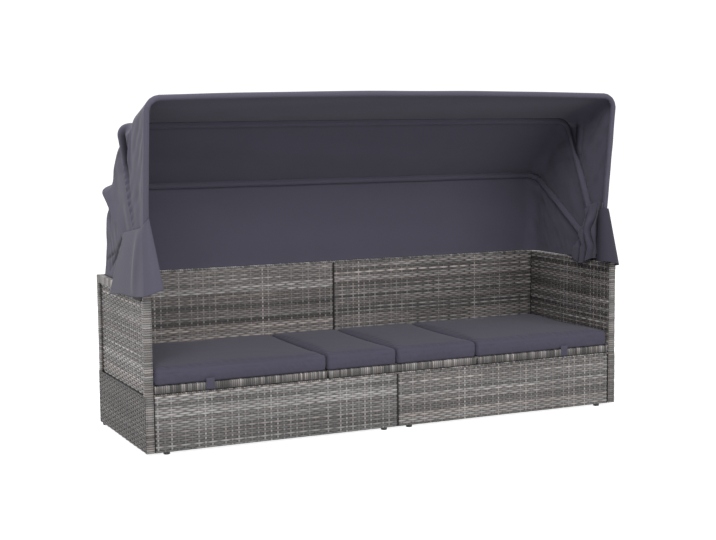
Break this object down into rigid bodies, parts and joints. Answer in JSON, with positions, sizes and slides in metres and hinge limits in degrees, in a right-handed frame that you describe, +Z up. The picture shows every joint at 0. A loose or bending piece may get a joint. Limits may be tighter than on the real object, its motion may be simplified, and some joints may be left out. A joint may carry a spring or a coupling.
{
  "type": "outdoor daybed with canopy",
  "caption": "Long woven resin daybed with high arms and back, a cushioned seat whose end sections tilt up on props, and a cloth canopy on bows that folds back.",
  "frame": {"origin": "centre of the bounding box, at the floor", "axes": "+X along the bed to the right as seen from the front, +Y from the front to the back, +Z up"},
  "size_m": [2.0406, 0.7051, 1.2898],
  "materials": {
    "woven_resin": "flat woven strands in mixed greys",
    "coated_steel": "satin black powder coat",
    "zinc_plated_steel": "bright zinc plating",
    "black_plastic": "moulded, matt",
    "cushion_cover": "plain woven cover, slate grey",
    "canopy_cloth": "plain woven awning cloth, slate grey"
  },
  "bodies": {
    "base": {"left_end_frame": "coated_steel", "right_end_frame": "coated_steel", "left_end_weave": "woven_resin", "right_end_weave": "woven_resin", "left_front_frame": "coated_steel", "right_front_frame": "coated_steel", "left_front_weave": "woven_resin", "right_front_weave": "woven_resin", "left_back_frame": "coated_steel", "right_back_frame": "coated_steel", "left_back_weave": "woven_resin", "right_back_weave": "woven_resin", "left_seat_ledge": "coated_steel", "right_seat_ledge": "coated_steel", "left_front_outer_foot": "black_plastic", "right_front_outer_foot": "black_plastic", "left_front_inner_foot": "black_plastic", "right_front_inner_foot": "black_plastic", "left_back_outer_foot": "black_plastic", "right_back_outer_foot": "black_plastic", "left_back_inner_foot": "black_plastic", "right_back_inner_foot": "black_plastic", "left_middle_frame": "coated_steel", "right_middle_frame": "coated_steel", "left_middle_deck": "woven_resin", "right_middle_deck": "woven_resin", "left_front_hinge_pin": "zinc_plated_steel", "right_front_hinge_pin": "zinc_plated_steel", "left_back_hinge_pin": "zinc_plated_steel", "right_back_hinge_pin": "zinc_plated_steel", "left_rack": "coated_steel", "right_rack": "coated_steel", "left_cross_beam": "coated_steel", "right_cross_beam": "coated_steel", "left_middle_cushion": "cushion_cover", "right_middle_cushion": "cushion_cover", "left_pivot_plate": "coated_steel", "right_pivot_plate": "coated_steel", "left_pivot_bolt": "zinc_plated_steel", "right_pivot_bolt": "zinc_plated_steel", "left_pivot_nut": "black_plastic", "right_pivot_nut": "black_plastic"},
    "left_head_section": {"left_head_frame": "coated_steel", "left_head_deck": "woven_resin", "left_head_cushion": "cushion_cover", "left_strap": "cushion_cover"},
    "right_head_section": {"right_head_frame": "coated_steel", "right_head_deck": "woven_resin", "right_head_cushion": "cushion_cover", "right_strap": "cushion_cover"},
    "left_prop": {"left_prop": "zinc_plated_steel"},
    "right_prop": {"right_prop": "zinc_plated_steel"},
    "rear_bow": {"rear_bow": "coated_steel", "canopy_rear_panel": "canopy_cloth"},
    "middle_bow": {"middle_bow": "coated_steel", "canopy_middle_panel": "canopy_cloth"},
    "front_bow": {"front_bow": "coated_steel", "canopy_front_panel": "canopy_cloth", "left_flap": "canopy_cloth", "right_flap": "canopy_cloth"}
  },
  "joints": [
    {"name": "left_head_tilt", "type": "hinge", "parent": "base", "child": "left_head_section", "pos_m": [-0.292, 0.028, 0.239], "axis": [0, 1, 0], "range_deg": [0, 45], "deforming": ["left_head_cushion"]},
    {"name": "right_head_tilt", "type": "hinge", "parent": "base", "child": "right_head_section", "pos_m": [0.349, 0.028, 0.239], "axis": [0, -1, 0], "range_deg": [0, 45], "deforming": ["right_head_cushion"]},
    {"name": "left_prop_swing", "type": "hinge", "parent": "left_head_section", "child": "left_prop", "pos_m": [-0.61125, 0.028, 0.233], "axis": [0, -1, 0], "range_deg": [0, 90]},
    {"name": "right_prop_swing", "type": "hinge", "parent": "right_head_section", "child": "right_prop", "pos_m": [0.63975, 0.028, 0.233], "axis": [0, 1, 0], "range_deg": [0, 90]},
    {"name": "rear_bow_fold", "type": "hinge", "parent": "base", "child": "rear_bow", "pos_m": [0, -0.203, 0.606], "axis": [-1, 0, 0], "range_deg": [0, 29], "deforming": ["canopy_rear_panel"]},
    {"name": "middle_bow_fold", "type": "hinge", "parent": "rear_bow", "child": "middle_bow", "pos_m": [0, -0.203, 0.606], "axis": [-1, 0, 0], "range_deg": [0, 20.7], "deforming": ["canopy_middle_panel"]},
    {"name": "front_bow_fold", "type": "hinge", "parent": "middle_bow", "child": "front_bow", "pos_m": [0, -0.203, 0.606], "axis": [-1, 0, 0], "range_deg": [0, 19.5], "deforming": ["canopy_front_panel", "left_flap", "right_flap"]}
  ],
  "couplings": [
    {"joint": "left_prop_swing", "follows": "left_head_tilt", "ratio": 2},
    {"joint": "right_prop_swing", "follows": "right_head_tilt", "ratio": 2},
    {"joint": "middle_bow_fold", "follows": "rear_bow_fold", "ratio": 0.7138},
    {"joint": "front_bow_fold", "follows": "rear_bow_fold", "ratio": 0.6724}
  ]
}
